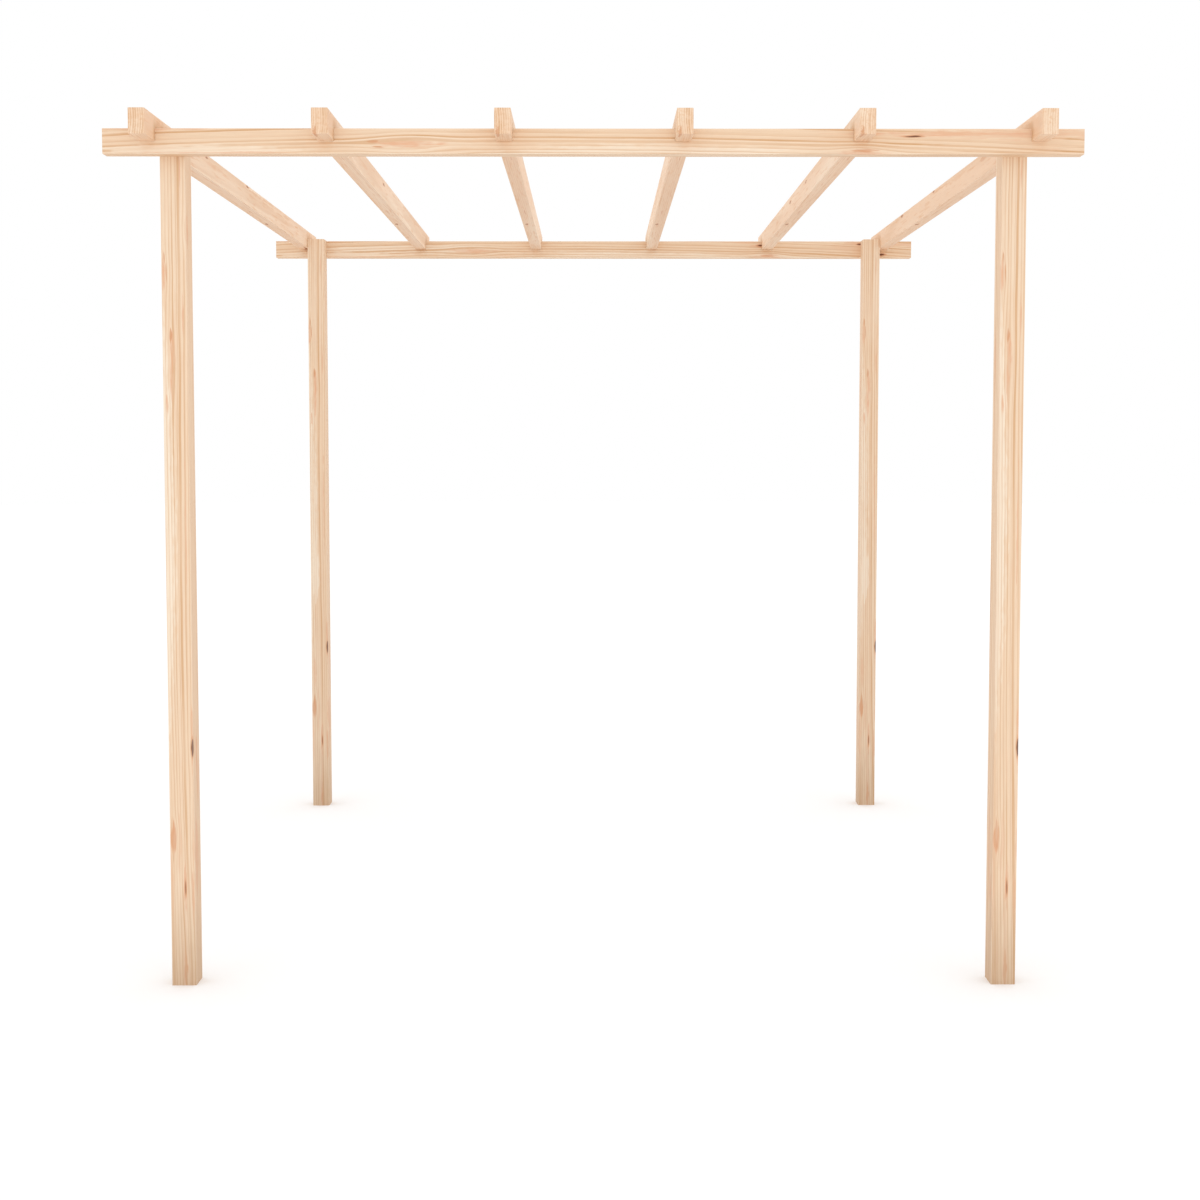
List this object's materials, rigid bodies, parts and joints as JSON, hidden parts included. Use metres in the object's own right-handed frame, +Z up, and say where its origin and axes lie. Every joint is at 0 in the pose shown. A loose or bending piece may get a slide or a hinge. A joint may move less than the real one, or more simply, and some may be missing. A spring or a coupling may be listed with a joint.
{
  "type": "timber pergola",
  "caption": "Free-standing square timber pergola: square posts, a beam outside the posts at the front and back, and open rafters notched down over both beams.",
  "frame": {"origin": "on the ground, in the middle of the plan between the posts", "axes": "+Z up, +X to the right along the beams, +Y to the back along the rafters; the front faces -Y"},
  "size_m": [2.69, 2.7, 2.4345],
  "materials": {
    "planed_softwood": "planed, untreated pale softwood with straight grain and small knots",
    "zinc_screws": "bright zinc-plated countersunk screw heads"
  },
  "bodies": {
    "root": {"front_left_post": "planed_softwood", "front_right_post": "planed_softwood", "back_left_post": "planed_softwood", "back_right_post": "planed_softwood", "front_beam": "planed_softwood", "back_beam": "planed_softwood", "rafter_1": "planed_softwood", "rafter_2": "planed_softwood", "rafter_3": "planed_softwood", "rafter_4": "planed_softwood", "rafter_5": "planed_softwood", "rafter_6": "planed_softwood"}
  },
  "joints": []
}
